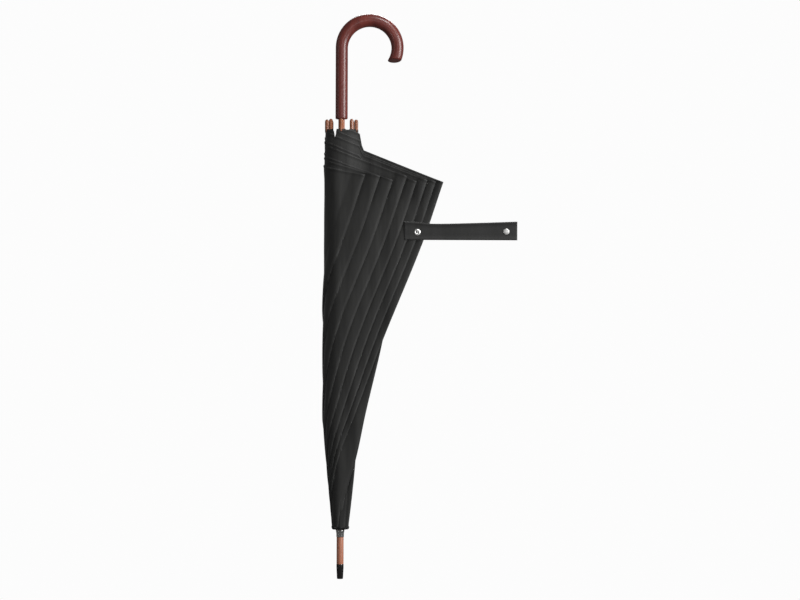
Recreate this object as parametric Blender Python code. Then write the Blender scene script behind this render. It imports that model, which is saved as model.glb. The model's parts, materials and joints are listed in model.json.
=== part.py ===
"""Stick umbrella, closed and unwrapped, standing on its tip.

Metres, +Z up along the shaft from the tip to the handle, origin at the centre of the tip's end face,
+X towards the open side of the crook and the loose flaps, -Y towards the flaps' outer face.
"""
from math import asin, cos, pi, sin

import bmesh
import bpy
from mathutils import Matrix, Vector

# ---- driving dimensions ----
GAP = 0.0003

SHAFT_RADIUS = 0.005
SHAFT_BORE = SHAFT_RADIUS + GAP
SHAFT_TENON_RADIUS = 0.0037
SHAFT_TENON_START = 0.0060
SHAFT_TENON_END = 0.0240
SHAFT_END = 0.7645
SHAFT_SIDES = 20

TIP_CAP_TOP = 0.0236
TIP_CAP_END_RADIUS = 0.0045
TIP_CAP_TOP_RADIUS = 0.0053

CUP_BOTTOM = 0.0660
CUP_TOP = 0.0770
CUP_PIN_HEIGHT = 0.0700

RIB_COUNT = 8
PIVOT_RADIUS = 0.009
CROWN_PIVOT_Z = 0.087
STRETCHER_LENGTH = 0.285
STRETCHER_PIVOT_RADIUS = 0.020
RIB_END_Z = 0.712
RIB_END_RADIUS = 0.0225

CLOSED_ANGLE = asin((STRETCHER_PIVOT_RADIUS - PIVOT_RADIUS) / STRETCHER_LENGTH)
STRETCHER_PIVOT_Z = CROWN_PIVOT_Z + STRETCHER_LENGTH * cos(CLOSED_ANGLE)
RUNNER_PIVOT_Z = CROWN_PIVOT_Z + 2 * STRETCHER_LENGTH * cos(CLOSED_ANGLE)

HUB_RADIUS = 0.0115
HUB_SLOT_WIDTH = 0.0026
HUB_SLOT_FLOOR = 0.0069
WIRE_RADIUS = 0.00055
EYE_HOLE_RADIUS = 0.0009
RUNNER_SLEEVE_RADIUS = 0.0066
RUNNER_TOP = 0.7000

OPEN_ANGLE = CLOSED_ANGLE + pi / 3
RUNNER_OPEN_Z = CROWN_PIVOT_Z + 2 * STRETCHER_LENGTH * cos(OPEN_ANGLE)
RUNNER_HUB_BELOW = 0.0040
STOP_PIN_Z = RUNNER_OPEN_Z - RUNNER_HUB_BELOW - 0.0014

CATCH_LENGTH = 0.0256
CATCH_REACH = 0.0080
CLOSED_CATCH_TOOTH = 0.6896
OPEN_CATCH_TOOTH = RUNNER_OPEN_Z + RUNNER_TOP - RUNNER_PIVOT_Z + GAP

CANOPY_BOTTOM = 0.0836
CANOPY_TOP = 0.7030
CANOPY_RADIUS = 0.028
CANOPY_WALL = 0.0012

STRAP_Z = 0.548
STRAP_TAB_START = 0.099
STRAP_SEAM_X = 0.14165
STRAP_SEAM_GAP = 0.0008
STRAP_END = 0.278
STRAP_THICKNESS = 0.0020
STRAP_EDGE_HALF = 0.0002
STRAP_TAPER = 0.0034
STRAP_HALF_START = 0.0130
STRAP_HALF_SEAM = 0.0132
STRAP_HALF_END = 0.0145
SNAP_STUD_X = 0.1216
SNAP_CAP_X = 0.2610

HANDLE_RADIUS = 0.0096
HANDLE_BOTTOM = 0.7237
CROOK_CENTRE_Z = 0.8364
CROOK_RADIUS = 0.0440
CROOK_TURN = 1.16 * pi


# ---- materials ----
def material(name, colour, roughness, metallic=0.0):
    made = bpy.data.materials.new(name)
    made.use_nodes = True
    shader = made.node_tree.nodes["Principled BSDF"]
    shader.inputs["Base Color"].default_value = (*colour, 1.0)
    shader.inputs["Roughness"].default_value = roughness
    shader.inputs["Metallic"].default_value = metallic
    return made


# ---- mesh helpers ----
def polar(radius, angle, z):
    return Vector((radius * cos(angle), radius * sin(angle), z))


def circle(radius, z, sides, centre=(0.0, 0.0)):
    shift = Vector((centre[0], centre[1], 0.0))
    return [polar(radius, 2 * pi * i / sides, z) + shift for i in range(sides)]


def loft(rings, closed=False):
    """Mesh through equal rings: capped at both ends, or joined last to first when closed."""
    bm = bmesh.new()
    made = [[bm.verts.new(p) for p in ring] for ring in rings]
    pairs = list(zip(made, made[1:]))
    if closed:
        pairs.append((made[-1], made[0]))
    for low, high in pairs:
        for i in range(len(low)):
            j = (i + 1) % len(low)
            bm.faces.new((low[i], low[j], high[j], high[i]))
    if not closed:
        bm.faces.new(made[0])
        bm.faces.new(made[-1])
    bmesh.ops.recalc_face_normals(bm, faces=bm.faces)
    if bm.calc_volume(signed=True) < 0:
        bmesh.ops.reverse_faces(bm, faces=bm.faces)
    mesh = bpy.data.meshes.new("piece")
    bm.to_mesh(mesh)
    bm.free()
    return mesh


def turned_solid(profile, sides):
    """Solid of revolution about Z from (radius, z) points that start and end in a flat cap."""
    return loft([circle(radius, z, sides) for radius, z in profile])


def turned_ring(profile, sides):
    """Ring of revolution about Z from a closed loop of (radius, z) points."""
    turns = [2 * pi * i / sides for i in range(sides)]
    return loft([[polar(radius, turn, z) for radius, z in profile] for turn in turns], closed=True)


def prism(outline, low, high):
    """Solid with an (x, z) outline, from y = low to y = high."""
    return loft([[Vector((x, y, z)) for x, z in outline] for y in (low, high)])


def block(x, y, z):
    return prism([(x[0], z[0]), (x[1], z[0]), (x[1], z[1]), (x[0], z[1])], *y)


def cross_bar(radius, x, z, low, high, sides=8):
    """Round bar along Y through (x, z)."""
    turns = [2 * pi * (i + 0.5) / sides for i in range(sides)]
    return prism([(x + radius * cos(t), z + radius * sin(t)) for t in turns], low, high)


def carve(mesh, others, operation="DIFFERENCE"):
    """The mesh after a Boolean with each of the others in turn."""
    for other in others:
        body = bpy.data.objects.new("body", mesh)
        tool = bpy.data.objects.new("tool", other)
        for made in (body, tool):
            bpy.context.scene.collection.objects.link(made)
        boolean = body.modifiers.new("cut", "BOOLEAN")
        boolean.operation = operation
        boolean.object = tool
        evaluated = body.evaluated_get(bpy.context.evaluated_depsgraph_get())
        mesh = bpy.data.meshes.new_from_object(evaluated)
        bpy.data.objects.remove(body)
        bpy.data.objects.remove(tool)
    return mesh


def place(name, mesh, finish, turn=0.0, smooth=True):
    made = bpy.data.objects.new(name, mesh)
    bpy.context.scene.collection.objects.link(made)
    made.rotation_euler.z = turn
    if not mesh.materials:
        mesh.materials.append(finish)
    if smooth:
        mesh.shade_smooth()
        mesh.set_sharp_from_angle(angle=pi / 5)
    return made


# ---- stick, tip and handle ----
def shaft_mesh():
    profile = [
        (SHAFT_TENON_RADIUS, SHAFT_TENON_START),
        (SHAFT_TENON_RADIUS, SHAFT_TENON_END),
        (SHAFT_RADIUS, SHAFT_TENON_END),
        (SHAFT_RADIUS, SHAFT_END),
    ]
    slot_x = (-0.0026, 0.0060)
    slot_y = (-0.0010, 0.0010)
    cuts = [
        block(slot_x, slot_y, (CLOSED_CATCH_TOOTH - CATCH_LENGTH - 0.001, CLOSED_CATCH_TOOTH + 0.001)),
        block(slot_x, slot_y, (OPEN_CATCH_TOOTH - 0.001, OPEN_CATCH_TOOTH + CATCH_LENGTH + 0.001)),
        cross_bar(0.0011, 0.0, STOP_PIN_Z, -0.007, 0.007),
        cross_bar(0.0011, 0.0, CUP_PIN_HEIGHT, -0.007, 0.007),
    ]
    return carve(turned_solid(profile, SHAFT_SIDES), cuts)


def tip_cap_mesh():
    bore = SHAFT_TENON_RADIUS + GAP
    return turned_solid(
        [
            (TIP_CAP_END_RADIUS - 0.0008, 0.0),
            (TIP_CAP_END_RADIUS, 0.0008),
            (TIP_CAP_TOP_RADIUS, TIP_CAP_TOP - 0.0006),
            (TIP_CAP_TOP_RADIUS - 0.0004, TIP_CAP_TOP),
            (bore, TIP_CAP_TOP),
            (bore, SHAFT_TENON_START - GAP),
        ],
        SHAFT_SIDES,
    )


def ferrule_cup_mesh():
    cup = turned_ring(
        [
            (SHAFT_BORE, CUP_BOTTOM),
            (0.0060, CUP_BOTTOM),
            (0.0064, CUP_BOTTOM + 0.0012),
            (0.0060, CUP_BOTTOM + 0.0024),
            (0.0060, CUP_TOP - 0.0010),
            (0.0067, CUP_TOP),
            (SHAFT_BORE, CUP_TOP),
        ],
        SHAFT_SIDES,
    )
    return carve(cup, [cross_bar(0.0011, 0.0, CUP_PIN_HEIGHT, -0.008, 0.008)])


def cross_pin_mesh(z, reach):
    """Headed pin along Y through the shaft."""
    stations = [(-reach - 0.0004, 0.0007), (-reach, 0.0011), (-reach + 0.0005, 0.0011)]
    stations += [(-reach + 0.0005, 0.0008), (reach, 0.0008)]
    turns = [2 * pi * i / 10 for i in range(10)]
    return loft([[Vector((r * cos(t), y, z + r * sin(t))) for t in turns] for y, r in stations])


def rosette_mesh():
    rim = 0.0138
    return turned_ring(
        [
            (SHAFT_BORE + GAP, CUP_TOP + GAP),
            (0.0126, CUP_TOP + 0.0016),
            (rim, CANOPY_BOTTOM - 0.0006),
            (rim - 0.0008, CANOPY_BOTTOM - 0.0005),
            (0.0120, CUP_TOP + 0.0026),
            (SHAFT_BORE + GAP, CUP_TOP + 0.0013),
        ],
        24,
    )


def handle_centre(turn):
    """Point on the crook's centre line after the given turn over the top."""
    return Vector((CROOK_RADIUS * (1 - cos(turn)), 0.0, CROOK_CENTRE_Z + CROOK_RADIUS * sin(turn)))


def handle_ring(centre, turn, radius, sides=18):
    across = Vector((cos(turn), 0.0, -sin(turn)))
    turns = [2 * pi * i / sides for i in range(sides)]
    return [centre + radius * (cos(t) * across + sin(t) * Vector((0, 1, 0))) for t in turns]


def handle_mesh():
    stem = Vector((0.0, 0.0, HANDLE_BOTTOM))
    up = Vector((0.0, 0.0, 0.001))
    rings = [
        handle_ring(Vector((0.0, 0.0, SHAFT_END + GAP)), 0.0, SHAFT_BORE),
        handle_ring(stem, 0.0, SHAFT_BORE),
        handle_ring(stem, 0.0, HANDLE_RADIUS - 0.001),
        handle_ring(stem + up, 0.0, HANDLE_RADIUS),
    ]
    steps = 18
    for i in range(steps + 1):
        turn = CROOK_TURN * i / steps
        rings.append(handle_ring(handle_centre(turn), turn, HANDLE_RADIUS))
    end = CROOK_TURN + 0.0016 / CROOK_RADIUS
    rings.append(handle_ring(handle_centre(end), end, HANDLE_RADIUS - 0.0016))
    return loft(rings)


# ---- crown and runner ----
def hub_loop(pivot_z, back, front, bore):
    """Closed (radius, z) loop of a notched hub: back is its solid side, front its slotted side."""
    groove = 0.0010
    side = 1 if front > back else -1
    return [
        (bore, back),
        (HUB_RADIUS - 0.0010, back),
        (HUB_RADIUS, back + side * 0.0010),
        (HUB_RADIUS, pivot_z - side * groove),
        (PIVOT_RADIUS - groove, pivot_z - side * groove),
        (PIVOT_RADIUS - groove, pivot_z + side * groove),
        (HUB_RADIUS, pivot_z + side * groove),
        (HUB_RADIUS, front),
        (bore, front),
    ]


def hub_slots(low, high):
    """One radial slot cutter for each rib."""
    half = HUB_SLOT_WIDTH / 2
    cutters = []
    for k in range(RIB_COUNT):
        cutter = block((HUB_SLOT_FLOOR, HUB_RADIUS + 0.001), (-half, half), (low, high))
        cutter.transform(Matrix.Rotation(2 * pi * k / RIB_COUNT, 4, "Z"))
        cutters.append(cutter)
    return cutters


def crown_mesh():
    back = CROWN_PIVOT_Z - 0.0070
    front = CROWN_PIVOT_Z + 0.0040
    hub = turned_ring(hub_loop(CROWN_PIVOT_Z, back, front, SHAFT_BORE), SHAFT_SIDES)
    return carve(hub, hub_slots(CROWN_PIVOT_Z - 0.0040, front + 0.001))


def runner_mesh():
    back = RUNNER_PIVOT_Z + 0.0060
    front = RUNNER_PIVOT_Z - RUNNER_HUB_BELOW
    bore = SHAFT_BORE + 0.0001
    loop = hub_loop(RUNNER_PIVOT_Z, back, front, bore)
    loop[0] = (RUNNER_SLEEVE_RADIUS, back)
    loop.insert(0, (RUNNER_SLEEVE_RADIUS, RUNNER_TOP))
    loop.insert(0, (bore, RUNNER_TOP))
    window_z = (CLOSED_CATCH_TOOTH - 0.0120, CLOSED_CATCH_TOOTH + 0.0004)
    window = block((0.004, 0.008), (-0.0013, 0.0013), window_z)
    cuts = hub_slots(front - 0.001, RUNNER_PIVOT_Z + 0.0040) + [window]
    return carve(turned_ring(loop, SHAFT_SIDES), cuts)


def wire_mesh(z):
    """Wire ring that the eyes of the ribs or stretchers hang on."""
    turns = [2 * pi * i / 5 for i in range(5)]
    loop = [(PIVOT_RADIUS + WIRE_RADIUS * cos(t), z + WIRE_RADIUS * sin(t)) for t in turns]
    return turned_ring(loop, 24)


# ---- catches: bent flat springs let into the shaft at azimuth 0 ----
def catch_mesh(tooth, tail):
    """Spring with its tail at one height and its tooth's flat face, which blocks the runner, at another."""
    side = 1 if tooth > tail else -1
    outline = [
        (0.0022, tail),
        (0.0034, tail),
        (0.0038, tooth - side * 0.0130),
        (CATCH_REACH, tooth - side * 0.0012),
        (CATCH_REACH, tooth),
        (0.0022, tooth),
    ]
    return prism(outline, -0.0007, 0.0007)


# ---- ribs, rivets, tips and stretchers, each made for the rib at azimuth 0 ----
RIB_HALF_WIDTH = 0.0017
RIB_WALL = 0.00055
RIB_BACK = 0.0022
RIB_EDGE = -0.0012
EYE_RADIUS = 0.00135
EYE_OPENING = asin(0.75)
BAR_HALF_WIDTH = 0.75 * EYE_RADIUS
EYE_THICKNESS = 0.0015


def rib_radius(z):
    """Distance of the rib's pivot line from the shaft's axis: a straight line with a slight bow."""
    length = RIB_END_Z - CROWN_PIVOT_Z
    spread = RIB_END_RADIUS - PIVOT_RADIUS
    knee = (STRETCHER_PIVOT_Z - CROWN_PIVOT_Z) / length
    bow = (STRETCHER_PIVOT_RADIUS - PIVOT_RADIUS - spread * knee) / (knee * (1 - knee))
    share = (z - CROWN_PIVOT_Z) / length
    return PIVOT_RADIUS + spread * share + bow * share * (1 - share)


def channel_ring(z):
    """Section of the fluted rib, a channel open towards the shaft."""
    inner = RIB_HALF_WIDTH - RIB_WALL
    web = RIB_BACK - RIB_WALL
    section = [
        (RIB_BACK, -RIB_HALF_WIDTH),
        (RIB_BACK, RIB_HALF_WIDTH),
        (RIB_EDGE, RIB_HALF_WIDTH),
        (RIB_EDGE, inner),
        (web, inner),
        (web, -inner),
        (RIB_EDGE, -inner),
        (RIB_EDGE, -RIB_HALF_WIDTH),
    ]
    return [Vector((rib_radius(z) + out, along, z)) for out, along in section]


def eye_arc(x, z, bar_turn):
    """Outline of a round eye at (x, z), open where its bar leaves at bar_turn from the X axis."""
    start = bar_turn + EYE_OPENING
    sweep = 2 * pi - 2 * EYE_OPENING
    turns = [start + sweep * i / 9 for i in range(10)]
    return [(x + EYE_RADIUS * cos(t), z + EYE_RADIUS * sin(t)) for t in turns]


def rib_mesh():
    start = CROWN_PIVOT_Z + 0.0080
    flute = loft([channel_ring(start + (RIB_END_Z - start) * i / 5) for i in range(6)])
    root = eye_arc(PIVOT_RADIUS, CROWN_PIVOT_Z, pi / 2)
    root += [
        (PIVOT_RADIUS + BAR_HALF_WIDTH, start),
        (PIVOT_RADIUS + 0.00245, start + 0.0020),
        (PIVOT_RADIUS + 0.00275, start + 0.0080),
        (PIVOT_RADIUS - BAR_HALF_WIDTH, start + 0.0080),
    ]
    tongue = prism(root, -0.0009, 0.0009)
    eye = cross_bar(EYE_HOLE_RADIUS, PIVOT_RADIUS, CROWN_PIVOT_Z, -0.002, 0.002)
    rivet_hole = cross_bar(0.0008, STRETCHER_PIVOT_RADIUS, STRETCHER_PIVOT_Z, -0.003, 0.003)
    return carve(carve(flute, [tongue], "UNION"), [eye, rivet_hole])


def stretcher_mesh():
    bar_turn = pi / 2 + CLOSED_ANGLE
    outline = eye_arc(STRETCHER_PIVOT_RADIUS, STRETCHER_PIVOT_Z, bar_turn)
    outline += eye_arc(PIVOT_RADIUS, RUNNER_PIVOT_Z, bar_turn + pi)
    half = EYE_THICKNESS / 2
    holes = [
        cross_bar(EYE_HOLE_RADIUS, STRETCHER_PIVOT_RADIUS, STRETCHER_PIVOT_Z, -0.002, 0.002),
        cross_bar(EYE_HOLE_RADIUS, PIVOT_RADIUS, RUNNER_PIVOT_Z, -0.002, 0.002),
    ]
    return carve(prism(outline, -half, half), holes)


def rivet_mesh():
    half = RIB_HALF_WIDTH + GAP
    stations = [(half + 0.0004, 0.0006), (half + 0.0002, 0.0010), (half, 0.0010), (half, 0.0005)]
    stations += [(-y, radius) for y, radius in reversed(stations)]
    turns = [2 * pi * i / 8 for i in range(8)]
    centre = Vector((STRETCHER_PIVOT_RADIUS, 0.0, STRETCHER_PIVOT_Z))
    return loft([[centre + Vector((r * cos(t), y, r * sin(t))) for t in turns] for y, r in stations])


def rib_tip_mesh():
    centre = (RIB_END_RADIUS + (RIB_BACK + RIB_EDGE) / 2, 0.0)
    mouth = CANOPY_TOP + GAP
    profile = [
        (0.00265, RIB_END_Z + GAP),
        (0.00265, mouth),
        (0.0031, mouth),
        (0.0032, mouth + 0.016),
        (0.0027, mouth + 0.0185),
        (0.0014, mouth + 0.0198),
    ]
    return loft([circle(radius, z, 10, centre) for radius, z in profile])


# ---- canopy ----
def canopy_radius(z):
    """Outer radius of the wrapped canopy: a cone up to its shoulder, then straight, then drawn in."""
    shoulder = 0.250
    neck = 0.679
    if z < shoulder:
        return 0.0146 + (CANOPY_RADIUS - 0.0146) * (z - CANOPY_BOTTOM) / (shoulder - CANOPY_BOTTOM)
    return CANOPY_RADIUS - 0.0014 * max(0.0, z - neck) / (CANOPY_TOP - neck)


def gore_mesh():
    """Wrapped cloth between the rib at azimuth 0 and the next one."""
    edge = pi / 180
    span = 2 * pi / RIB_COUNT - 2 * edge
    turns = [edge + span * i / 4 for i in range(5)]
    rings = []
    for z in (CANOPY_BOTTOM, 0.250, 0.679, CANOPY_TOP):
        radius = canopy_radius(z)
        outer = [polar(radius, turn, z) for turn in turns]
        inner = [polar(radius - CANOPY_WALL, turn, z) for turn in reversed(turns)]
        rings.append(outer + inner)
    return loft(rings)


def flap_mesh():
    """The loose folds of all eight gores, lying together as one flat flag."""
    start = 0.0172
    outline = [
        (start, 0.165),
        (0.040, 0.263),
        (0.066, 0.376),
        (0.127, 0.528),
        (0.160, 0.624),
        (0.045, 0.6695),
        (0.030, 0.688),
        (start, 0.700),
    ]
    return prism(outline, -CANOPY_RADIUS, -CANOPY_RADIUS + 0.005)


# ---- strap and snap, on the flaps' outer face ----
STRAP_BACK = -CANOPY_RADIUS - GAP
STRAP_FACE = STRAP_BACK - STRAP_THICKNESS


def strap_mesh(stations):
    """Flat strip along X through (x, half height) stations, thinned to an edge at the swing axis."""
    rings = []
    for x, half in stations:
        thin = abs(x - STRAP_SEAM_X) < 0.001
        middle = (STRAP_FACE + STRAP_BACK) / 2
        depth = STRAP_EDGE_HALF if thin else STRAP_THICKNESS / 2
        corners = [(-depth, -half), (depth, -half), (depth, half), (-depth, half)]
        rings.append([Vector((x, middle + y, STRAP_Z + z)) for y, z in corners])
    return loft(rings)


def strap_tab_mesh():
    edge = STRAP_SEAM_X - STRAP_SEAM_GAP / 2
    return strap_mesh(
        [
            (STRAP_TAB_START, STRAP_HALF_START),
            (edge - STRAP_TAPER, STRAP_HALF_SEAM),
            (edge, STRAP_HALF_SEAM),
        ]
    )


def strap_band_mesh():
    edge = STRAP_SEAM_X + STRAP_SEAM_GAP / 2
    return strap_mesh(
        [
            (edge, STRAP_HALF_SEAM),
            (edge + STRAP_TAPER, STRAP_HALF_SEAM),
            (STRAP_END, STRAP_HALF_END),
        ]
    )


def snap_mesh(x, profile):
    """Piece turned about a line along Y through the strap's middle at x, from (radius, y) points."""
    turns = [2 * pi * i / 16 for i in range(16)]
    centre = Vector((x, 0.0, STRAP_Z))
    return loft([[centre + Vector((r * cos(t), y, r * sin(t))) for t in turns] for r, y in profile])


def snap_stud_mesh():
    seat = STRAP_FACE - GAP
    return snap_mesh(
        SNAP_STUD_X,
        [
            (0.0045, seat),
            (0.0045, seat - 0.0006),
            (0.0032, seat - 0.0014),
            (0.0018, seat - 0.0014),
            (0.0014, seat - 0.0006),
        ],
    )


def snap_cap_mesh():
    seat = STRAP_FACE - GAP
    return snap_mesh(
        SNAP_CAP_X,
        [
            (0.0046, seat),
            (0.0046, seat - 0.0005),
            (0.0036, seat - 0.0014),
            (0.0018, seat - 0.0019),
        ],
    )


def snap_socket_mesh():
    seat = STRAP_BACK + GAP
    return snap_mesh(
        SNAP_CAP_X,
        [
            (0.0042, seat),
            (0.0042, seat + 0.0014),
            (0.0030, seat + 0.0018),
            (0.0016, seat + 0.0018),
            (0.0016, seat + 0.0008),
        ],
    )


def main():
    for old in list(bpy.data.objects):
        bpy.data.objects.remove(old)

    stick = material("stick", (0.50, 0.17, 0.08), 0.35)
    mahogany = material("mahogany", (0.11, 0.017, 0.012), 0.18)
    black = material("tip_black", (0.01, 0.01, 0.01), 0.25)
    chrome = material("chrome", (0.75, 0.75, 0.76), 0.12, 1.0)
    steel = material("steel", (0.45, 0.46, 0.48), 0.32, 1.0)
    cloth = material("cloth", (0.022, 0.022, 0.021), 0.85)
    tip_wood = material("tip_wood", (0.50, 0.17, 0.07), 0.4)

    place("shaft", shaft_mesh(), stick)
    place("handle", handle_mesh(), mahogany)
    place("tip_cap", tip_cap_mesh(), black)
    place("ferrule_cup", ferrule_cup_mesh(), chrome)
    place("ferrule_pin", cross_pin_mesh(CUP_PIN_HEIGHT, 0.0071), chrome)
    place("rosette", rosette_mesh(), cloth)
    place("crown_notch", crown_mesh(), chrome)
    place("crown_wire", wire_mesh(CROWN_PIVOT_Z), steel)
    place("stop_pin", cross_pin_mesh(STOP_PIN_Z, 0.0071), steel)
    place("runner", runner_mesh(), chrome)
    place("runner_wire", wire_mesh(RUNNER_PIVOT_Z), steel)
    place("closed_catch", catch_mesh(CLOSED_CATCH_TOOTH, CLOSED_CATCH_TOOTH - CATCH_LENGTH), steel)
    place("open_catch", catch_mesh(OPEN_CATCH_TOOTH, OPEN_CATCH_TOOTH + CATCH_LENGTH), steel)

    repeated = [
        ("rib", rib_mesh(), steel),
        ("rib_tip", rib_tip_mesh(), tip_wood),
        ("rib_rivet", rivet_mesh(), steel),
        ("stretcher", stretcher_mesh(), steel),
        ("canopy_gore", gore_mesh(), cloth),
    ]
    for name, mesh, finish in repeated:
        for k in range(RIB_COUNT):
            place(f"{name}_{k + 1}", mesh, finish, 2 * pi * k / RIB_COUNT)

    place("canopy_flap", flap_mesh(), cloth, smooth=False)
    place("strap_tab", strap_tab_mesh(), cloth, smooth=False)
    place("strap_band", strap_band_mesh(), cloth, smooth=False)
    place("snap_stud", snap_stud_mesh(), chrome)
    place("snap_cap", snap_cap_mesh(), chrome)
    place("snap_socket", snap_socket_mesh(), steel)


main()
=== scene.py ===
import json
from functools import lru_cache
from math import cos, pi, sin

import bmesh
import bpy
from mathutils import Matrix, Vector

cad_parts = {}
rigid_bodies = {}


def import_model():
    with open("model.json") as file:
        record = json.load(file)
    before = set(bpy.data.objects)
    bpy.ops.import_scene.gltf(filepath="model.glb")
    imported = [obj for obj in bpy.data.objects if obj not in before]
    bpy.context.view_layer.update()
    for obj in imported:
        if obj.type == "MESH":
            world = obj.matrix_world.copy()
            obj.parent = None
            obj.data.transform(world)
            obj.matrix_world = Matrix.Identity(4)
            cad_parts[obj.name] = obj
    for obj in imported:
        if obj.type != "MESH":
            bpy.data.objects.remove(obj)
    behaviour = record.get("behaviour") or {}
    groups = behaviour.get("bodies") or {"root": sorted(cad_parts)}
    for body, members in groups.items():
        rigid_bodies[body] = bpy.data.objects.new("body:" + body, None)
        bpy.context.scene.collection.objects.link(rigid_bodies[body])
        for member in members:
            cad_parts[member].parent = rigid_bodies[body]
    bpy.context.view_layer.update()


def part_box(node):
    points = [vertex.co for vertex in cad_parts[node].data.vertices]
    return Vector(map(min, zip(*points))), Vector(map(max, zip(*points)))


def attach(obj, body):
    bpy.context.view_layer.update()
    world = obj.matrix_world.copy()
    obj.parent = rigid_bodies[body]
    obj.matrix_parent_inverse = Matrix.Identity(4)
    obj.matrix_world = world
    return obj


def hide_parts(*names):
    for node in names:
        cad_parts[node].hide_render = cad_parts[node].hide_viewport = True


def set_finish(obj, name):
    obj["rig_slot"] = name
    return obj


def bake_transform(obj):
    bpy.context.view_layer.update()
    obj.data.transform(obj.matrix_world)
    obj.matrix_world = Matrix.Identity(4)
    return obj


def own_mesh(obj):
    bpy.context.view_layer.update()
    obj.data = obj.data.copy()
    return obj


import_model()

# ---- places read from the frame ----
TAU = 2 * pi
RIB_COUNT = 8
ROSETTE_LOW, ROSETTE_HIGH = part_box("rosette")
GORE_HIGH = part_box("canopy_gore_1")[1]
FLAP_LOW, FLAP_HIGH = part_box("canopy_flap")
TAB_LOW, TAB_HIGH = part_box("strap_tab")
BAND_LOW, BAND_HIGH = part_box("strap_band")
STUD_LOW, STUD_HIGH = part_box("snap_stud")
CAP_LOW, CAP_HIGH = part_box("snap_cap")
HANDLE_LOW, HANDLE_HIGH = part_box("handle")
TIP_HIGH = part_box("tip_cap")[1]
CUP_LOW, CUP_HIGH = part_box("ferrule_cup")
SHAFT_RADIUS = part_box("shaft")[1].y

# ---- the rolled canopy ----
# The cloth is rolled round the ribs. Along the roll, lengths are measured from the front line (-Y):
# "along" is positive to the right and negative round to the left. Flap 0 lies at the back and the last
# flap in front, and the first HIDDEN_FLAPS have their hems under the others.
CANOPY_RADIUS = -FLAP_LOW.y
CANOPY_BOTTOM = ROSETTE_HIGH.z - 0.0004
CANOPY_TOP = GORE_HIGH.z + 0.0040
BOTTOM_RADIUS = 0.0132
WIDEST_Z = 0.250
FRONT = 1.5 * pi
PLY = 0.00022
PLEAT = 0.0026
PLEAT_BASE = 0.4
PUFF = 0.0012
HEM_RIDGE = 0.0010
HEM_ROLL = 0.0055
HEM_EDGE = 0.0014
UNDER_SLOPE = 0.05
UNDER_DEPTH = 0.0023
BLEND_HALF_WIDTH = 0.0034
HEM_DIP = 0.013
FLAP_COUNT = 10
HIDDEN_FLAPS = 2
FLAP_STEP = 0.011
FLAP_STEP_GROWTH = 0.001
STEEP_HEM = 0.40
HEM_FLATTENING = 0.20
SHOULDER_X = 0.0345
SHOULDER_RISE = 0.024
SHOULDER_FALL = 0.006
HEM_BELOW_TOP = 0.0012
SHOULDER_WIDTH = 0.006
LOOSE_Z, LOOSE_LENGTH = 0.565, 0.050
LOOSE_GAIN = 1.2
TIGHT_Z, TIGHT_LENGTH = 0.625, 0.020
TIGHT_SHARE = 0.7
GATHER_Z, GATHER_LENGTH = 0.670, 0.030
GATHER_SHARE = 0.7
TIP_GATHER_Z, TIP_GATHER_LENGTH = 0.679, 0.024
TIP_GATHER = 0.0014
SMALLEST_PLEAT = 0.35
NARROW_FLAPS = 0.55
FRONT_PLEAT_WIDTH = 0.022
EDGE_SOFTNESS = 0.0008
HEM_SOFTNESS = 0.0012
BEHIND_FLAPS = 0.0086
FLAP_TOP = (0.290, 0.480, 0.6240, 0.6245, 0.6270, 0.6250, 0.6330, 0.6270, 0.6330, 0.6350)
LOWER_EDGE = [(CANOPY_BOTTOM, 0.0130), (0.131, 0.0186), (0.186, 0.0238), (0.300, 0.0300)]
MIDDLE_EDGE = [
    (CANOPY_BOTTOM, -0.0080),
    (0.186, 0.0235),
    (0.263, 0.0400),
    (0.376, 0.0660),
    (0.480, 0.0840),
]
OUTER_EDGE = [
    (CANOPY_BOTTOM, -0.0440),
    (0.186, -0.0060),
    (0.263, 0.0240),
    (0.376, 0.0660),
    (0.528, 0.1275),
    (0.624, FLAP_HIGH.x),
    (0.720, FLAP_HIGH.x + 0.033),
]


def smooth(t):
    """0 below t = 0 and 1 above t = 1, with an easy start and end."""
    t = min(1.0, max(0.0, t))
    return t * t * (3 - 2 * t)


def through(points, at):
    """Smooth curve through (position, value) points, read at one position."""
    if at <= points[0][0]:
        return points[0][1]
    if at >= points[-1][0]:
        return points[-1][1]
    i = max(j for j in range(len(points) - 1) if points[j][0] <= at)
    (a, va), (b, vb) = points[i], points[i + 1]
    before = points[max(i - 1, 0)]
    after = points[min(i + 2, len(points) - 1)]
    slope_a = (vb - before[1]) / (b - before[0])
    slope_b = (after[1] - va) / (after[0] - a)
    width = b - a
    t = (at - a) / width
    return (
        (2 * t**3 - 3 * t**2 + 1) * va
        + (t**3 - 2 * t**2 + t) * width * slope_a
        + (3 * t**2 - 2 * t**3) * vb
        + (t**3 - t**2) * width * slope_b
    )


@lru_cache(maxsize=None)
def flap_edge(k, z):
    """How far flap k's fold reaches right of the front line; negative once it has wrapped left."""
    if k < HIDDEN_FLAPS:
        return through((LOWER_EDGE, MIDDLE_EDGE)[k], z)
    n = k - HIDDEN_FLAPS
    spread = NARROW_FLAPS + (1 - NARROW_FLAPS) * smooth((z - 0.05) / 0.40)
    return through(OUTER_EDGE, z) - (FLAP_STEP * n + FLAP_STEP_GROWTH * n * n) * spread


@lru_cache(maxsize=None)
def flap_corner(k):
    """(x, z) of the corner where flap k's fold meets its hem."""
    return flap_edge(k, FLAP_TOP[k]), FLAP_TOP[k]


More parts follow.
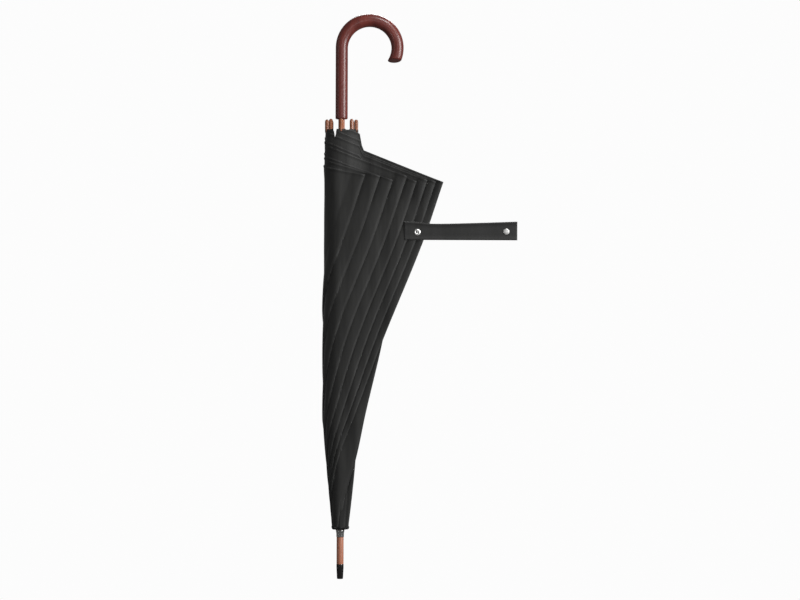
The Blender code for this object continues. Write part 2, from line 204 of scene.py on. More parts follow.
@lru_cache(maxsize=None)
def hem_height(k, along):
    """Height of flap k's hem, which rises from its corner to the left, then up to the rib tips."""
    if k < HIDDEN_FLAPS:
        return CANOPY_TOP
    n = k - HIDDEN_FLAPS
    x, z = flap_corner(k)
    last = FLAP_COUNT - HIDDEN_FLAPS - 1
    line = z + (STEEP_HEM - HEM_FLATTENING * (n / last) ** 4) * (x - along)
    shoulder = max(0.0, SHOULDER_RISE - SHOULDER_FALL * n)
    shoulder *= smooth((SHOULDER_X - along) / SHOULDER_WIDTH)
    return min(CANOPY_TOP - HEM_BELOW_TOP, line + shoulder)


def hem_ridge(drop):
    """Rolled hem: the cloth thickens just below its edge, drop metres down from it."""
    return HEM_RIDGE * (smooth(1 - drop / HEM_ROLL) - 0.6 * smooth(1 - drop / HEM_EDGE))


def gathering(z):
    """The plies lie closer together towards the rib tips."""
    return 1.0 - GATHER_SHARE * smooth((z - GATHER_Z) / GATHER_LENGTH)


def looseness(z):
    """The pleats stand wider apart near the loose hem."""
    return 1 + LOOSE_GAIN * smooth((z - LOOSE_Z) / LOOSE_LENGTH)


def tightness(z):
    """Share of a pleat's height that is left where the hems are wrapped tight."""
    return 1 - TIGHT_SHARE * smooth((z - TIGHT_Z) / TIGHT_LENGTH)


def base_radius(z):
    """Radius of the roll: growing from the rosette to WIDEST_Z, drawn in a little at the rib tips."""
    t = min(1.0, (z - CANOPY_BOTTOM) / (WIDEST_Z - CANOPY_BOTTOM))
    rise = 0.92 * t + 0.08 * smooth(t)
    gather = TIP_GATHER * smooth((z - TIP_GATHER_Z) / TIP_GATHER_LENGTH)
    return BOTTOM_RADIUS + (CANOPY_RADIUS - BOTTOM_RADIUS) * rise - gather


def pleat_size(radius):
    """Pleats get smaller with the roll's radius."""
    return SMALLEST_PLEAT + (1 - SMALLEST_PLEAT) * radius / CANOPY_RADIUS


def crease(along, z):
    """Small uneven rise and fall of wrapped cloth, in metres."""
    slow = sin(along * 210 + z * 31 + 0.7) * sin(z * 17 + along * 40)
    quick = sin(along * 520 - z * 63 + 2.0) * sin(z * 41 + 1.1)
    return 0.00022 * slow + 0.00010 * quick


def swell(t):
    """Rise of a pleat from its covered side, t = 0, to its fold, t = 1, where it rounds over."""
    return 1 - (1 - t) ** 2.4 - 0.30 * smooth((t - 0.82) / 0.18)


def pleat_rise(k, along, z):
    """A flap lies low where the next one covers it and rises towards its own fold."""
    fold = flap_edge(k, z)
    if k == FLAP_COUNT - 1:
        return PLEAT * (swell(max(0.0, 1 - (fold - along) / FRONT_PLEAT_WIDTH)) - PLEAT_BASE)
    covered = flap_edge(k + 1, z)
    if along < covered:
        return -PLEAT_BASE * PLEAT - min(UNDER_DEPTH, UNDER_SLOPE * (covered - along))
    return PLEAT * (swell(min(1.0, (along - covered) / (fold - covered))) - PLEAT_BASE)


def wrap_height(along, z):
    """How far the cloth stands off the innermost ply, left of the front line."""
    plies = 0.0
    ridge = 0.0
    top = -1
    for k in range(FLAP_COUNT):
        side = smooth((flap_edge(k, z) - along) / EDGE_SOFTNESS + 0.5)
        drop = hem_height(k, along) - z
        below = smooth(drop / HEM_SOFTNESS + 0.5)
        plies += side * below
        if side * below > 0.5:
            top = k
            ridge = hem_ridge(drop)
    rise = pleat_rise(top, along, z) if top >= 0 else -PLEAT_BASE * PLEAT
    rise *= tightness(z)
    fade = 1.0 - 0.8 * smooth((-along - 0.060) / 0.040)
    return (PLY * (plies - FLAP_COUNT) * gathering(z) + rise + ridge) * fade


def wrap_radius(azimuth, z):
    """Distance from the shaft's axis to the rolled cloth; azimuth runs from 0 to TAU.

    To the right of the front line the roll lies flat behind the loose flaps.
    """
    radius = base_radius(z)
    size = pleat_size(radius)
    along = CANOPY_RADIUS * (azimuth - FRONT)
    if along <= 0.0:
        return radius + (wrap_height(along, z) + crease(along, z)) * size
    x = radius * sin(along / CANOPY_RADIUS)
    far = -CANOPY_RADIUS * FRONT
    front = wrap_height(0.0, z) + crease(0.0, z)
    side = wrap_height(far, z) + crease(far, z)
    turn = smooth(along / (TAU * CANOPY_RADIUS + far))
    start = radius + (front + (side - front) * turn) * size
    ease = smooth((x - 0.0012) / 0.0028) * smooth((z - 0.13) / 0.10)
    ease *= smooth((hem_height(0, x) - z) / 0.020)
    flat = min(start, (CANOPY_RADIUS - BEHIND_FLAPS) / max(0.3, -sin(azimuth)))
    return start + (flat - start) * ease


# ---- meshes ----
def build(name, rows, joined=False):
    """Quads through equal rows of points; joined closes each row on itself."""
    bm = bmesh.new()
    made = [[bm.verts.new(p) for p in row] for row in rows]
    across = len(rows[0]) if joined else len(rows[0]) - 1
    for i in range(len(rows) - 1):
        for j in range(across):
            n = (j + 1) % len(rows[0])
            corners = ((i, j), (i, n), (i + 1, n), (i + 1, j))
            face = bm.faces.new([made[a][b] for a, b in corners])
            face.smooth = True
    mesh = bpy.data.meshes.new(name)
    bm.to_mesh(mesh)
    bm.free()
    made_object = bpy.data.objects.new(name, mesh)
    bpy.context.scene.collection.objects.link(made_object)
    return made_object


def cloth(item):
    """Gives a cloth piece the canopy cloth slot."""
    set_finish(item, "canopy_cloth")


def polar(radius, angle, z):
    """Point at a distance and an angle round the shaft's axis."""
    return Vector((radius * cos(angle), radius * sin(angle), z))


# ---- gores ----
FINE_START = 0.632
FINE_SHARE = 0.42
ROW_STEP = 0.0022
SIDE_COLUMNS = 10
BAND_COLUMNS = 16


def gore_columns(first, step):
    """(azimuth, blend) for each column: close together in the middle, where the open gore stretches."""
    middle = first + step / 2
    half = BLEND_HALF_WIDTH / CANOPY_RADIUS
    side = step / 2 - half
    columns = [(first + side * i / SIDE_COLUMNS, 0.0) for i in range(SIDE_COLUMNS)]
    for i in range(BAND_COLUMNS + 1):
        t = i / BAND_COLUMNS
        columns.append((middle + half * (2 * t - 1), smooth(t)))
    for i in range(1, SIDE_COLUMNS + 1):
        columns.append((middle + half + side * i / SIDE_COLUMNS, 1.0))
    return columns


def gore_levels():
    """Row heights, closer together near the hem."""
    coarse = round((FINE_START - CANOPY_BOTTOM) / ROW_STEP)
    fine = round((CANOPY_TOP - FINE_START) / (ROW_STEP * FINE_SHARE))
    low = [CANOPY_BOTTOM + (FINE_START - CANOPY_BOTTOM) * i / coarse for i in range(coarse)]
    return low + [FINE_START + (CANOPY_TOP - FINE_START) * i / fine for i in range(fine + 1)]


def gore(k):
    """The cloth that shows between rib k and the next."""
    step = TAU / RIB_COUNT
    first = step * (k - 1)
    columns = gore_columns(first, step)
    rows = []
    for level in gore_levels():
        row = []
        for azimuth, blend in columns:
            dip = HEM_DIP * (1 - (2 * blend - 1) ** 2)
            z = level - dip * smooth((level - FINE_START) / (CANOPY_TOP - FINE_START))
            row.append(polar(wrap_radius(min(azimuth, TAU), z), azimuth, z))
        rows.append(row)
    made = build(f"gore_skin_{k}", rows)
    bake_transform(made)
    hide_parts(f"canopy_gore_{k}")
    cloth(made)


# ---- loose flaps ----
FOLD_THICKNESS = 0.0005
GROOVE_DEPTH = 0.0016
GROOVE_PLACE = 0.62
GROOVE_HALF_WIDTH = 0.0022
LIFT_START = 0.040
LIFT_WIDTH = 0.055
NEAR_WIDTH = 0.030
PUFF_LENGTH = 0.045
LOOSE_START = 0.006
STRAIGHT_START_DROP = 0.060
STRAIGHT_START_LENGTH = 0.035
COLUMN_STEP = 0.0030
HEM_ROWS = (0.0060, 0.0045, 0.0032, 0.0022, 0.0014, 0.0007, 0.0)
SHORTEST_ROW = 0.0015
TUCK = 0.006


def flap_depth(k, x, z):
    """Height of flap k's front face towards -Y, as a distance from the shaft's axis."""
    radius = base_radius(z)
    size = pleat_size(radius)
    lift = smooth((x - LIFT_START) / LIFT_WIDTH)
    ply = PLY * (FLAP_COUNT - 1 - k) * (1 - lift)
    near = 1 - smooth(x / NEAR_WIDTH)
    drop = hem_height(k, x) - z
    hem = hem_ridge(drop) + PUFF * smooth(x / NEAR_WIDTH) * smooth(1 - drop / PUFF_LENGTH)
    wrapped = tightness(z)
    loose = wrapped + (looseness(z) - wrapped) * smooth((x - LOOSE_START) / NEAR_WIDTH)
    ply *= gathering(z)
    if k == 0:
        off = abs(x - GROOVE_PLACE * flap_edge(0, z))
        ply += GROOVE_DEPTH * max(0.0, 1 - off / GROOVE_HALF_WIDTH)
    rise = pleat_rise(k, x, z) * loose - ply
    return radius + rise * size + hem + crease(0.0, z) * size * near


def flap_levels(top):
    """Heights along a flap's fold, from the bottom up, closer together at the hem."""
    height = top - HEM_ROWS[0] - CANOPY_BOTTOM
    count = round(height / (2 * ROW_STEP))
    low = [CANOPY_BOTTOM + height * i / count for i in range(count)]
    return low + [top - drop for drop in HEM_ROWS]


def hem_shift(k, x, top):
    """How far flap k's hem stands above its corner at x."""
    return hem_height(k, x) - top if k >= HIDDEN_FLAPS else 0.0


def flap_inner(k, z, top):
    """Where flap k's sheet starts at height z: just under the next fold, but at x = 0 near its hem."""
    if not HIDDEN_FLAPS < k < FLAP_COUNT - 1:
        return 0.0
    inner = max(0.0, flap_edge(k + 1, z) - TUCK)
    return inner * (1 - smooth((z - top + STRAIGHT_START_DROP) / STRAIGHT_START_LENGTH))


def flap_row(k, z_fold, across):
    """One row of flap k: along the front sheet, round the fold and back along the back sheet."""
    corner_x, corner_z = flap_corner(k)
    fold = flap_edge(k, z_fold)
    inner = flap_inner(k, z_fold, corner_z)
    tilt = smooth((z_fold - CANOPY_BOTTOM) / (corner_z - CANOPY_BOTTOM))
    front, back = [], []
    for j in range(across + 1):
        x = inner + (fold - inner) * (j / across) ** 0.9
        z = z_fold + tilt * hem_shift(k, corner_x - fold + x, corner_z)
        depth = flap_depth(k, x, z)
        front.append(Vector((x, -depth, z)))
        back.append(Vector((x, FOLD_THICKNESS - depth, z)))
    half = FOLD_THICKNESS / 2
    bends = [
        front[-1] + Vector((half * sin(pi * turn), half * (1 - cos(pi * turn)), 0.0))
        for turn in (0.25, 0.5, 0.75)
    ]
    return front + bends + back[::-1]


def flap(k):
    """One gore's cloth folded double beside its rib: front sheet, rounded fold, back sheet."""
    corner_x, corner_z = flap_corner(k)
    across = round(corner_x / COLUMN_STEP)
    levels = [z for z in flap_levels(corner_z) if flap_edge(k, z) >= SHORTEST_ROW]
    rows = [flap_row(k, z, across) for z in levels]
    made = build(f"flap_{k}", rows)
    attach(made, "flap")
    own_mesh(made)
    cloth(made)
    if k == 0:
        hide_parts("canopy_flap")


# ---- turned and swept pieces ----
def turned(name, profile, sides=64):
    """Surface turned about the shaft's axis through (radius, z) points."""
    rows = [[polar(r, TAU * i / sides, z) for i in range(sides)] for r, z in profile]
    return build(name, rows, joined=True)


def turned_forward(name, place, profile, sides=40):
    """Surface turned about a line along Y through place, from (radius, y) points."""
    rows = []
    for r, y in profile:
        rows.append([
            Vector((place.x + r * cos(TAU * i / sides), y, place.z + r * sin(TAU * i / sides)))
            for i in range(sides)
        ])
    return build(name, rows, joined=True)


def rounded(profile, radius, steps=5):
    """The same (a, b) points with each inner corner rounded by up to the given radius."""
    out = [profile[0]]
    for i in range(1, len(profile) - 1):
        p, a, b = Vector(profile[i]), Vector(profile[i - 1]), Vector(profile[i + 1])
        start = p + (a - p).normalized() * min(radius, (a - p).length * 0.45)
        end = p + (b - p).normalized() * min(radius, (b - p).length * 0.45)
        for j in range(steps + 1):
            t = j / steps
            out.append(tuple(start * (1 - t) ** 2 + p * 2 * t * (1 - t) + end * t**2))
    out.append(profile[-1])
    return out


def stand_for(item, body, slot, *nodes):
    """Puts a piece on its body and slot, in place of the named CAD nodes."""
    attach(item, body)
    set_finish(item, slot)
    if nodes:
        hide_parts(*nodes)
    return item


# ---- crook handle ----
HANDLE_RADIUS = -HANDLE_LOW.x
CROOK_RADIUS = (HANDLE_HIGH.x - HANDLE_RADIUS) / 2
CROOK_CENTRE_Z = HANDLE_HIGH.z - CROOK_RADIUS - HANDLE_RADIUS
CROOK_TURN = 1.155 * pi
CROOK_SWELL = 0.0008
HANDLE_END_ROUND = 0.0018
END_SLANT = -0.50
END_FACING = 0.33
END_CUT_TURN = 0.55
SHAFT_HOLE = SHAFT_RADIUS + 0.0003
HANDLE_SIDES = 48
STEM_ROWS = 30
CROOK_ROWS = 96


def handle_stations():
    """(height, turn, radius) along the handle; height is None in the crook, where turn places it."""
    stations = [(HANDLE_LOW.z, 0.0, SHAFT_HOLE)]
    for t in (0.0, 0.3, 0.6, 1.0):
        inset = HANDLE_END_ROUND * (1 - sin(t * pi / 2))
        rise = HANDLE_END_ROUND * (1 - cos(t * pi / 2))
        stations.append((HANDLE_LOW.z + rise, 0.0, HANDLE_RADIUS - inset))
    z = HANDLE_LOW.z + HANDLE_END_ROUND
    for i in range(1, STEM_ROWS):
        stations.append((z + (CROOK_CENTRE_Z - z) * i / STEM_ROWS, 0.0, HANDLE_RADIUS))
    last = CROOK_TURN - HANDLE_END_ROUND / CROOK_RADIUS
    for i in range(CROOK_ROWS + 1):
        stations.append((None, last * i / CROOK_ROWS, HANDLE_RADIUS))
    for t in (0.25, 0.5, 0.75, 1.0):
        turn = last + HANDLE_END_ROUND / CROOK_RADIUS * sin(t * pi / 2)
        inset = HANDLE_END_ROUND * (1 - cos(t * pi / 2))
        stations.append((None, turn, HANDLE_RADIUS - inset))
    stations.append((None, CROOK_TURN, HANDLE_RADIUS * 0.35))
    stations.append((None, CROOK_TURN, 0.0001))
    return stations


def handle_row(height, turn, radius):
    """One ring of the handle, slanted towards the crook's end so that its face comes out flat."""
    if height is None:
        thicker = CROOK_SWELL * max(0.0, sin(turn))
        radius += thicker
        reach = CROOK_RADIUS - thicker
        centre = Vector((CROOK_RADIUS - reach * cos(turn), 0.0, CROOK_CENTRE_Z + reach * sin(turn)))
    else:
        centre = Vector((0.0, 0.0, height))
    side = Vector((-cos(turn), 0.0, sin(turn)))
    ahead = Vector((sin(turn), 0.0, cos(turn)))
    cut = smooth((turn - CROOK_TURN + END_CUT_TURN) / END_CUT_TURN)
    row = []
    for i in range(HANDLE_SIDES + 1):
        a = TAU * i / HANDLE_SIDES
        slant = cut * (END_SLANT * cos(a) + END_FACING * sin(a))
        around = side * cos(a) + Vector((0, 1, 0)) * sin(a) + ahead * slant
        row.append(centre + radius * around)
    return row


def handle():
    """Wooden crook: straight stem, half circle and a flat, slightly rounded end face."""
    made = build("crook_handle", [handle_row(*station) for station in handle_stations()])
    weld(made)
    stand_for(made, "stick", "handle_wood", "handle")


def weld(item):
    """Joins the first and last points of each row where they meet."""
    bm = bmesh.new()
    bm.from_mesh(item.data)
    bmesh.ops.remove_doubles(bm, verts=bm.verts, dist=1e-6)
    bm.to_mesh(item.data)
    bm.free()


# ---- ferrule and rosette ----
ROSETTE_SIDES = 96


def ferrule():
    """The shaft's stained end with a slight swell, its black tip and the chrome cup above it."""
    low = TIP_HIGH.z - 0.0004
    high = CUP_LOW.z + 0.0003
    girth = SHAFT_RADIUS + 0.0005
    wood = turned("ferrule_wood", rounded([
        (girth - 0.0015, low),
        (girth, low),
        (girth, low + 0.012),
        (girth, high),
        (girth - 0.0015, high),
    ], 0.0006))
    stand_for(wood, "stick", "shaft_wood")
    end, rim = TIP_HIGH.x * 0.90, TIP_HIGH.x + 0.0004
    cap = turned("tip_dome", rounded([
        (0.0001, 0.0),
        (end, 0.0),
        (rim * 0.985, TIP_HIGH.z * 0.72),
        (rim, TIP_HIGH.z),
        (SHAFT_RADIUS - 0.001, TIP_HIGH.z),
    ], 0.0012))
    stand_for(cap, "stick", "tip_black", "tip_cap")
    top, wide = CUP_HIGH.z, CUP_HIGH.x
    cup = turned("ferrule_collar", rounded([
        (SHAFT_HOLE - 0.0001, CUP_LOW.z),
        (wide * 0.88, CUP_LOW.z),
        (wide * 0.90, CUP_LOW.z + 0.0065),
        (wide, top - 0.0016),
        (wide, top),
        (SHAFT_HOLE, top),
    ], 0.0005))
    stand_for(cup, "stick", "chrome", "ferrule_cup")


def rosette():
    """Gathered disc of cloth between the collar and the canopy, with a wavy rim."""
    rim = ROSETTE_HIGH.x
    inside = SHAFT_HOLE + 0.0003
    profile = [
        (inside, ROSETTE_LOW.z),
        (rim * 0.90, ROSETTE_LOW.z + 0.0012),
        (rim, ROSETTE_HIGH.z - 0.0012),
        (rim * 0.97, ROSETTE_HIGH.z),
        (rim * 0.86, ROSETTE_HIGH.z - 0.0014),
        (inside, ROSETTE_LOW.z + 0.002),
    ]
    rows = []
    for r, z in rounded(profile, 0.0008, 3):
        row = []
        for i in range(ROSETTE_SIDES):
            a = TAU * i / ROSETTE_SIDES
            wave = smooth((r - 0.006) / 0.006) * (0.0005 * sin(11 * a) + 0.0003 * sin(5 * a + 1.0))
            row.append(polar(r + wave, a, z - 0.6 * wave))
        rows.append(row)
    made = build("gathered_rosette", rows, joined=True)
    stand_for(made, "stick", "canopy_cloth", "rosette")


# ---- strap ----
STRAP_START = TAB_LOW.x
STRAP_END = BAND_HIGH.x - 0.0020
STRAP_Z = (BAND_LOW.z + BAND_HIGH.z) / 2
STRAP_BACK = BAND_HIGH.y
STRAP_FRONT = BAND_LOW.y
STRAP_HALF = 0.0147
STRAP_WAIST = [(0.099, 0.0004), (0.120, 0.0016), (0.145, 0.0038), (0.210, 0.0024), (0.278, 0.0)]
STRAP_COLUMNS = 120
STRAP_WAVE = 0.00015
END_THINNING = 0.0006
END_THINNING_REACH = 0.0012
STRAP_HEM_WIDTH = 0.0030
STRAP_HEM_RISE = 0.00025

# ---- snap: (radius, how far it stands in front of the strap) ----
SNAP_RING = [
    (0.0024, -0.0001),
    (0.0024, 0.0009),
    (0.0034, 0.0014),
    (0.0050, 0.0005),
    (0.0050, -0.0002),
]
# painted shade: flat disc at the floor of the ring's hole, given the black finish
SNAP_HOLE_SHADE = [(0.0025, 0.0003), (0.0001, 0.0003)]
SNAP_POST = [(0.0013, 0.0003), (0.0012, 0.0010), (0.0001, 0.0011)]
SNAP_DOME = [
    (0.0048, -0.0002),
    (0.0048, 0.0006),
    (0.0038, 0.0014),
    (0.0018, 0.0019),
    (0.0001, 0.0020),
]
RING_SHIFT = Vector((-0.0018, 0.0, -0.0024))
DOME_SHIFT = Vector((-0.0022, 0.0, -0.0012))
RING_PLACE = Vector(((STUD_LOW.x + STUD_HIGH.x) / 2, 0.0, STRAP_Z)) + RING_SHIFT
DOME_PLACE = Vector(((CAP_LOW.x + CAP_HIGH.x) / 2, 0.0, STRAP_Z)) + DOME_SHIFT


def strap_row(x):
    """Cross-section of the strap at x: a flat front with a raised hem along both edges."""
    waist = through(STRAP_WAIST, x) / 2
    half = STRAP_HALF - waist
    inner = half - STRAP_HEM_WIDTH
    from_end = min(x - STRAP_START, STRAP_END - x)
    thinning = END_THINNING * (1 - smooth(from_end / END_THINNING_REACH))
    front = STRAP_FRONT + STRAP_WAVE * sin(x * 90) + thinning
    upper = [
        (half - 0.0004, STRAP_BACK - 0.0004),
        (half, (front + STRAP_BACK) / 2),
        (half - 0.0005, front),
        (inner + 0.0004, front - 0.00005),
        (inner, front + STRAP_HEM_RISE),
        (inner * 0.5, front + 0.0002),
    ]
    lower = [(-z, y) for z, y in reversed(upper)]
    points = upper + [(0.0, front + 0.00015)] + lower
    return [Vector((x, y, STRAP_Z - waist + z)) for z, y in points]


def close_strip(item, across, columns):
    """Adds the two ends and the back to a strip built from columns + 1 rows of across points."""
    bm = bmesh.new()
    bm.from_mesh(item.data)
    bm.verts.ensure_lookup_table()
    for end in (0, columns):
        face = bm.faces.new([bm.verts[end * across + j] for j in range(across)])
        face.smooth = False
    for i in range(columns):
        a, b = i * across, (i + 1) * across
        bm.faces.new((bm.verts[a], bm.verts[b], bm.verts[b + across - 1], bm.verts[a + across - 1]))
    bmesh.ops.recalc_face_normals(bm, faces=bm.faces)
    bm.to_mesh(item.data)
    bm.free()


def strap():
    """Closing strap: the sewn tab and the free band in one piece."""
    length, width = STRAP_END - STRAP_START, 2 * STRAP_HALF
    rows = [strap_row(STRAP_START + length * i / STRAP_COLUMNS) for i in range(STRAP_COLUMNS + 1)]
    made = build("closing_strap", rows)
    close_strip(made, len(rows[0]), STRAP_COLUMNS)
    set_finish(made, "strap_cloth")
    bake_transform(made)
    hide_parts("strap_tab", "strap_band")


def snap_piece(name, place, outline, corner):
    """Turned metal on the strap's front, from points of radius and height."""
    outline = [(r, STRAP_FRONT - height) for r, height in outline]
    return turned_forward(name, place, rounded(outline, corner))


def snaps():
    """The snap's ring with a post in its hole, on the tab, and its domed cap, on the band; the hole's
    shade is painted as a flat black disc.
    """
    ring = snap_piece("snap_ring", RING_PLACE, SNAP_RING, 0.0004)
    stand_for(ring, "flap", "chrome", "snap_stud")
    # painted shade: a black disc standing for the shade inside the ring's hole
    hole = snap_piece("snap_hole_shade", RING_PLACE, SNAP_HOLE_SHADE, 0.0)
    stand_for(hole, "flap", "tip_black")
    post = snap_piece("snap_post", RING_PLACE, SNAP_POST, 0.0004)
    stand_for(post, "flap", "chrome")
    dome = snap_piece("snap_dome", DOME_PLACE, SNAP_DOME, 0.0010)
    stand_for(dome, "strap", "chrome", "snap_cap")


# ---- materials ----
CREASE_STRETCH = (60.0, 60.0, 7.0)
WEAVE_SCALE = 2600.0
WEAVE_SHARE = 0.12
WEAR_STRETCH = (900.0, 900.0, 260.0)
GLOSSIER = 0.05
DULLER = 0.08
HANDLE_GRAIN = (90.0, 90.0, 12.0)
SHAFT_GRAIN = (420.0, 420.0, 30.0)
RIB_TIP_GRAIN = (420.0, 420.0, 60.0)


def linear(value):
    """Display value, 0 to 1, as a linear one."""
    return value / 12.92 if value <= 0.04045 else ((value + 0.055) / 1.055) ** 2.4


def colour(r, g, b):
    """Display colour, 0 to 255, as the linear colour a shader takes."""
    return (linear(r / 255), linear(g / 255), linear(b / 255), 1.0)


def new_material(name, base, roughness, metallic=0.0, **inputs):
    """A material with its node tree and shader; inputs are further shader values by name."""
    made = bpy.data.materials.new(name)
    made.use_nodes = True
    shader = made.node_tree.nodes["Principled BSDF"]
    shader.inputs["Base Color"].default_value = base
    shader.inputs["Roughness"].default_value = roughness
    shader.inputs["Metallic"].default_value = metallic
    for key, value in inputs.items():
        shader.inputs[key.replace("_", " ")].default_value = value
    return made, made.node_tree, shader


def node(tree, kind, **settings):
    """A new node with its settings."""
    made = tree.nodes.new(kind)
    for key, value in settings.items():
        setattr(made, key, value)
    return made


def mapped(tree, scale):
    """Object coordinates stretched by the given factors."""
    source = node(tree, "ShaderNodeTexCoord")
    mapping = node(tree, "ShaderNodeMapping")
    mapping.inputs["Scale"].default_value = scale
    tree.links.new(source.outputs["Object"], mapping.inputs["Vector"])
    return mapping.outputs["Vector"]


def noise(tree, vector, scale, detail=3.0, roughness=0.5):
    """Fractal noise, 0 to 1."""
    made = node(tree, "ShaderNodeTexNoise")
    made.inputs["Scale"].default_value = scale
    made.inputs["Detail"].default_value = detail
    made.inputs["Roughness"].default_value = roughness
    tree.links.new(vector, made.inputs["Vector"])
    return made.outputs["Fac"]


def ramp(tree, value, stops):
    """Colour along (place, colour) stops."""
    made = node(tree, "ShaderNodeValToRGB")
    while len(made.color_ramp.elements) < len(stops):
        made.color_ramp.elements.new(0.5)
    for element, (place, tint) in zip(made.color_ramp.elements, stops):
        element.position = place
        element.color = tint
    tree.links.new(value, made.inputs["Fac"])
    return made.outputs["Color"]


def bump(tree, shader, height, strength, distance):
    """Raises the surface's shading by a height value."""
    made = node(tree, "ShaderNodeBump")
    made.inputs["Strength"].default_value = strength
    made.inputs["Distance"].default_value = distance
    tree.links.new(height, made.inputs["Height"])
    tree.links.new(made.outputs["Normal"], shader.inputs["Normal"])


def cloth_material(name, light, dark):
    """Thin polyester: long soft crease relief in height and tone, a fine weave and a little sheen. The
    darker tone falls in the crease hollows: partly random tone, partly painted shade.
    """
    made, tree, shader = new_material(
        name, light, 0.62, Sheen_Weight=0.25, Sheen_Roughness=0.4, Specular_IOR_Level=0.35)
    crease_relief_and_shade = noise(tree, mapped(tree, CREASE_STRETCH), 1.0, 4.0, 0.55)
    # painted shade, in part: the low, hollow parts of the crease noise take the dark colour
    tint = ramp(tree, crease_relief_and_shade, [(0.30, dark), (0.70, light)])
    tree.links.new(tint, shader.inputs["Base Color"])
    weave = noise(tree, mapped(tree, (1.0, 1.0, 1.0)), WEAVE_SCALE, 2.0)
    mix = node(tree, "ShaderNodeMath", operation="MULTIPLY_ADD")
    mix.inputs[1].default_value = WEAVE_SHARE
    tree.links.new(weave, mix.inputs[0])
    tree.links.new(crease_relief_and_shade, mix.inputs[2])
    bump(tree, shader, mix.outputs[0], 0.5, 0.0008)
    return made


def wood_material(name, light, dark, roughness, coat, stretch):
    """Stained, varnished wood with its grain along Z."""
    made, tree, shader = new_material(name, light, roughness, Coat_Weight=coat, Coat_Roughness=0.24)
    grain = noise(tree, mapped(tree, stretch), 1.0, 5.0, 0.6)
    tint = ramp(tree, grain, [(0.30, dark), (0.72, light)])
    tree.links.new(tint, shader.inputs["Base Color"])
    return made


def worn_material(name, base, roughness, metallic=0.0):
    """Metal or rubber with fine rubbing marks: uneven gloss and a faint bump."""
    made, tree, shader = new_material(name, base, roughness, metallic)
    wear = noise(tree, mapped(tree, WEAR_STRETCH), 1.0, 4.0, 0.6)
    gloss = node(tree, "ShaderNodeMapRange")
    gloss.inputs["To Min"].default_value = roughness - GLOSSIER
    gloss.inputs["To Max"].default_value = roughness + DULLER
    tree.links.new(wear, gloss.inputs["Value"])
    tree.links.new(gloss.outputs["Result"], shader.inputs["Roughness"])
    bump(tree, shader, wear, 0.12, 0.0002)
    return made


def paint(item, finish):
    """Gives a piece one material and no other."""
    item.data.materials.clear()
    item.data.materials.append(finish)


FINISHES = {
    # each cloth's second colour lies in its crease hollows: partly random tone, partly painted shade
    "canopy_cloth": cloth_material("canopy_cloth_finish", colour(48, 48, 47), colour(25, 25, 24)),
    "strap_cloth": cloth_material("strap_cloth_finish", colour(39, 39, 39), colour(31, 31, 30)),
    "handle_wood": wood_material(
        "handle_wood_finish", colour(114, 48, 39), colour(84, 29, 23), 0.42, 0.28, HANDLE_GRAIN),
    "shaft_wood": wood_material(
        "shaft_wood_finish", colour(188, 124, 97), colour(150, 90, 66), 0.38, 0.2, SHAFT_GRAIN),
    "rib_tip_wood": wood_material(
        "rib_tip_wood_finish", colour(158, 96, 64), colour(112, 62, 36), 0.40, 0.2, RIB_TIP_GRAIN),
    "tip_black": worn_material("tip_black_finish", colour(22, 20, 20), 0.18),
    "chrome": worn_material("chrome_finish", colour(190, 190, 188), 0.18, 1.0),
    "steel": worn_material("steel_finish", colour(150, 150, 152), 0.32, 1.0),
}
ROSETTE_CLOTH = cloth_material("rosette_finish", colour(21, 21, 21), colour(12, 12, 12))
SNAP_METAL = worn_material("snap_metal_finish", colour(214, 214, 212), 0.34, 0.55)
OWN_FINISHES = {
    "gathered_rosette": ROSETTE_CLOTH,
    "snap_ring": SNAP_METAL,
    "snap_post": SNAP_METAL,
    "snap_dome": SNAP_METAL,
}
CAD_SLOTS = {
    "shaft": "shaft_wood",
    "ferrule_pin": "chrome",
    "crown_notch": "steel",
    "crown_wire": "steel",
    "stop_pin": "steel",
    "runner": "steel",
    "runner_wire": "steel",
    "closed_catch": "steel",
    "open_catch": "steel",
    "snap_socket": "chrome",
}
for rib in range(1, RIB_COUNT + 1):
    CAD_SLOTS[f"rib_{rib}"] = "steel"
    CAD_SLOTS[f"rib_rivet_{rib}"] = "steel"
    CAD_SLOTS[f"stretcher_{rib}"] = "steel"
    CAD_SLOTS[f"rib_tip_{rib}"] = "rib_tip_wood"


# ---- build ----
def pieces():
    """Every visible piece that scene.py makes, from the canopy to the snaps."""
    for k in range(1, RIB_COUNT + 1):
        gore(k)
    for k in range(FLAP_COUNT):
        flap(k)
    rosette()
    ferrule()
    handle()
    strap()
    snaps()


def finishes():
    """Paints the new pieces by slot or with their own finish, and the CAD nodes that stay."""
    for item in bpy.context.scene.objects:
        if "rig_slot" in item and item.type == "MESH":
            paint(item, FINISHES[item["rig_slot"]])
    for name, finish in OWN_FINISHES.items():
        paint(bpy.data.objects[name], finish)
    for name, slot in CAD_SLOTS.items():
        paint(bpy.data.objects[name], FINISHES[slot])


# ---- stage, light and camera ----
PAPER_SEEN = 0.975
PAPER_LIGHT = 0.13
FLOOR_SIZE = 60.0
CAMERA_PLACE = (0.093, -4.0, 0.4394)
CAMERA_ROLL = -0.0035
CAMERA_LENS = 114.3
# name: place, target, size, power
LIGHTS = {
    "key": ((2.3, -1.5, 1.0), (0.05, 0, 0.45), (1.0, 1.8), 78.0),
    "front": ((0.45, -4.6, 0.95), (0.05, 0, 0.5), (0.10, 1.9), 13.0),
    "low": ((-1.5, -2.0, 0.16), (0.0, 0, 0.06), (0.16, 0.30), 2.6),
    "left": ((-2.2, -0.9, 1.1), (0.0, 0, 0.5), (0.25, 1.6), 2.4),
    "top": ((0.9, -1.1, 2.5), (0.05, 0, 0.5), (0.8, 0.10), 26.0),
    "back": ((0.3, 2.2, 2.4), (0.05, 0, 0.5), (1.6, 1.0), 60.0),
}


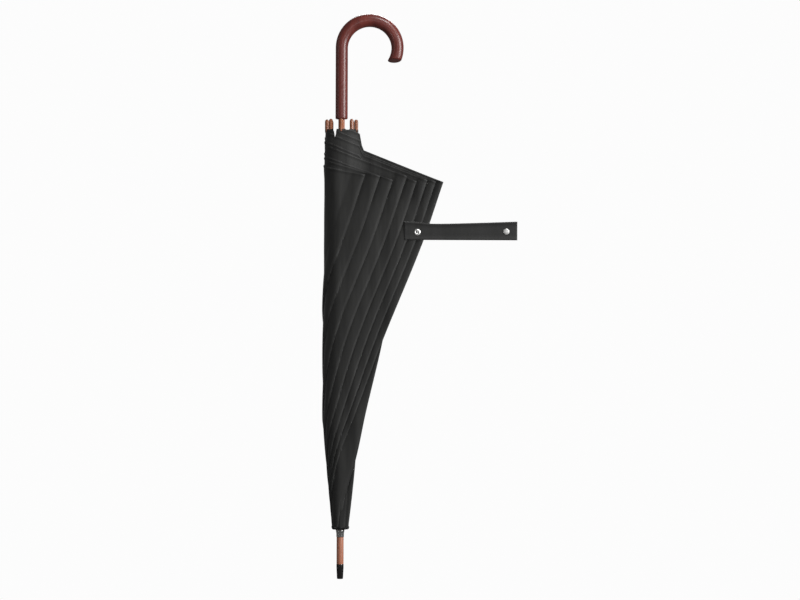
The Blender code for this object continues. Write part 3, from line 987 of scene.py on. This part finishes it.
def seen_or_lighting(tree):
    """Strength of the white paper all round: bright where it is seen, dimmer where it lights things."""
    path = node(tree, "ShaderNodeLightPath")
    strength = node(tree, "ShaderNodeMapRange")
    strength.inputs["To Min"].default_value = PAPER_LIGHT
    strength.inputs["To Max"].default_value = PAPER_SEEN
    tree.links.new(path.outputs["Is Camera Ray"], strength.inputs["Value"])
    return strength.outputs["Result"]


def floor():
    """White paper that takes no shadow, as far as the view reaches."""
    bpy.ops.mesh.primitive_plane_add(size=FLOOR_SIZE, location=(0, 0, 0))
    made = bpy.context.object
    made.name = "floor"
    finish, tree, shader = new_material("floor_finish", (0.0, 0.0, 0.0, 1.0), 1.0)
    shader.inputs["Specular IOR Level"].default_value = 0.0
    shader.inputs["Emission Color"].default_value = (1.0, 1.0, 1.0, 1.0)
    tree.links.new(seen_or_lighting(tree), shader.inputs["Emission Strength"])
    paint(made, finish)


def world():
    """The same white all round."""
    made = bpy.data.worlds.new("paper")
    bpy.context.scene.world = made
    made.use_nodes = True
    tree = made.node_tree
    back = tree.nodes["Background"]
    back.inputs["Color"].default_value = (1.0, 1.0, 1.0, 1.0)
    tree.links.new(seen_or_lighting(tree), back.inputs["Strength"])


def area_light(name, place, target, size, power):
    """A soft light, itself out of sight of the camera."""
    data = bpy.data.lights.new(name, "AREA")
    data.shape = "RECTANGLE"
    data.size, data.size_y = size
    data.energy = power
    made = bpy.data.objects.new(name, data)
    made.location = place
    aim = Vector(target) - Vector(place)
    made.rotation_euler = aim.to_track_quat("-Z", "Y").to_euler()
    made.visible_camera = False
    bpy.context.scene.collection.objects.link(made)


def camera():
    """A long lens, level and straight on, turned very slightly about its own axis."""
    data = bpy.data.cameras.new("camera")
    data.sensor_width = 36.0
    data.lens = CAMERA_LENS
    made = bpy.data.objects.new("camera", data)
    made.location = CAMERA_PLACE
    made.rotation_euler = (pi / 2, CAMERA_ROLL, 0)
    bpy.context.scene.collection.objects.link(made)
    bpy.context.scene.camera = made
    bpy.context.scene.view_settings.view_transform = "Standard"


pieces()
finishes()
floor()
world()
for light, settings in LIGHTS.items():
    area_light(light, *settings)
camera()
